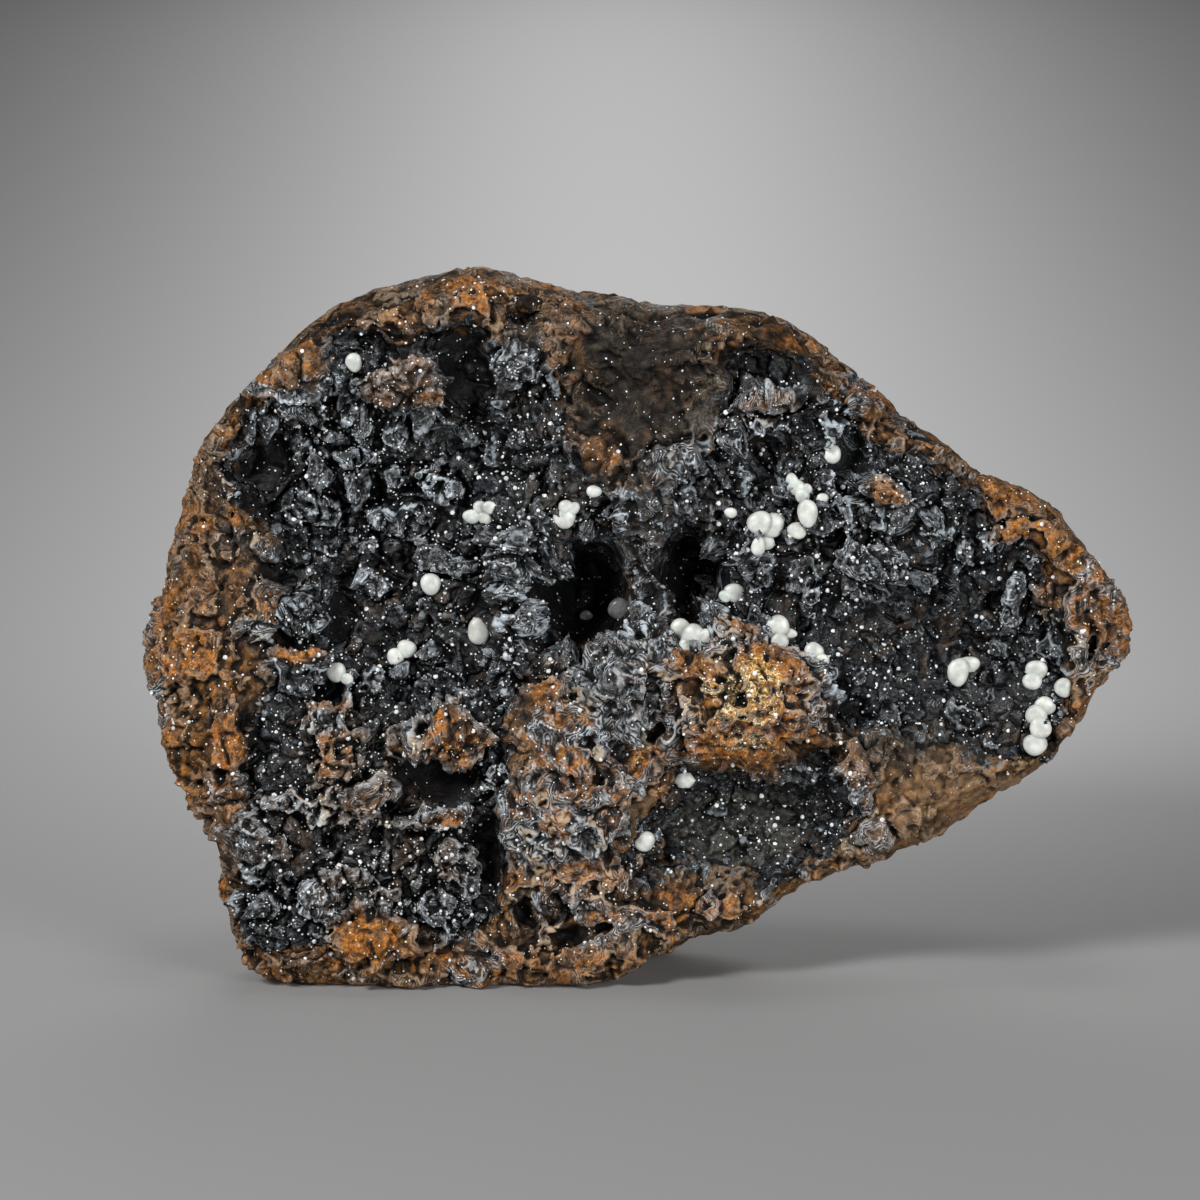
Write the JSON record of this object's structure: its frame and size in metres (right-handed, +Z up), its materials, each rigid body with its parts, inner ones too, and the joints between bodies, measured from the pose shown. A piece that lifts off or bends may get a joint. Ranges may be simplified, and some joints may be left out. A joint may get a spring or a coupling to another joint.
{
  "type": "chalcophanite mineral specimen",
  "caption": "Broken lump of rusty limonite with hollows lined by black chalcophanite and dotted with small white beads, standing on its flat lower left edge.",
  "frame": {"origin": "middle of the specimen's box, at the height of the flat foot it stands on", "axes": "+X along the specimen's length towards its narrow tip, -Y out of the broken face with the lined hollows, +Z up"},
  "size_m": [0.1096, 0.0438, 0.0787],
  "materials": {
    "limonite": "rough, pitted, rusty brown with orange patches",
    "chalcophanite": "black crystal crust with steel-grey edges and fine sparkle",
    "white_bead": "waxy off-white"
  },
  "bodies": {
    "root": {"limonite_matrix": "limonite", "crust_left_hollow": "chalcophanite", "crust_right_hollow": "chalcophanite", "crust_lower_pocket": "chalcophanite", "crust_top_pocket": "chalcophanite", "bead_below_top_rim": "white_bead", "beads_four_small": "white_bead", "bead_on_tongue": "white_bead", "beads_above_deep_pit": "white_bead", "bead_left_middle": "white_bead", "beads_on_ridge": "white_bead", "bead_beside_ridge": "white_bead", "beads_by_left_ledge": "white_bead", "beads_left_pair": "white_bead", "beads_right_chain_top": "white_bead", "beads_right_notch": "white_bead", "beads_right_great_pair": "white_bead", "beads_right_below_pair": "white_bead", "beads_right_tilted_pair": "white_bead", "bead_right_small_round": "white_bead", "bead_right_small_left": "white_bead", "beads_beside_right_pit": "white_bead", "beads_above_golden_mound": "white_bead", "bead_in_deep_pit": "white_bead", "bead_small_in_deep_pit": "white_bead", "beads_over_golden_mound": "white_bead", "beads_right_of_mound": "white_bead", "beads_right_basin_pair": "white_bead", "beads_right_edge_top": "white_bead", "bead_right_edge": "white_bead", "beads_right_edge_chain": "white_bead", "bead_six_sided": "white_bead", "bead_lower_pocket": "white_bead"}
  },
  "joints": []
}
